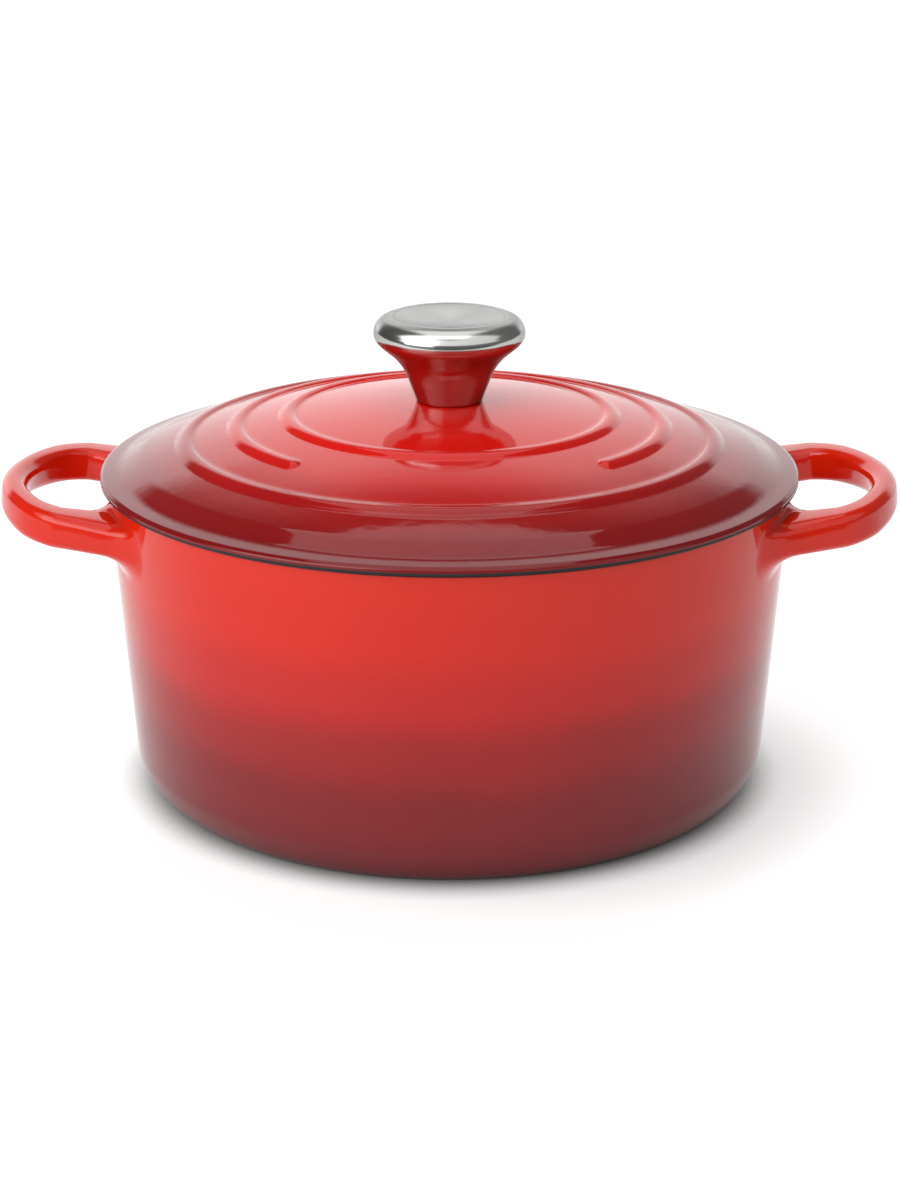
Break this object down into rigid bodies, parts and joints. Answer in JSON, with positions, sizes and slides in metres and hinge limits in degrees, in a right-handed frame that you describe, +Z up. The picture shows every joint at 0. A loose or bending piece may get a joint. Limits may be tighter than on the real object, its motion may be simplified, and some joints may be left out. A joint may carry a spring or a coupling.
{
  "type": "covered casserole dish",
  "caption": "Round enamelled cast-iron casserole with two loop handles, and a lift-off domed lid with raised rings and a polished steel knob.",
  "frame": {"origin": "centre of the base on the surface it stands on", "axes": "+Z up, X through the two loop handles, front faces -Y"},
  "size_m": [0.3446, 0.269, 0.1827],
  "materials": {
    "enamelled_iron": "gloss",
    "polished_steel": "polished",
    "plain_steel": "satin"
  },
  "bodies": {
    "pot": {"pot": "enamelled_iron"},
    "lid": {"lid": "enamelled_iron", "knob_body": "polished_steel", "knob_cap": "polished_steel", "knob_bush": "plain_steel", "knob_washer": "plain_steel", "knob_screw": "plain_steel"}
  },
  "joints": [
    {"name": "lid_lift", "type": "slide", "parent": "pot", "child": "lid", "axis": [0, 0, 1], "range_m": [0, 0.15]}
  ]
}
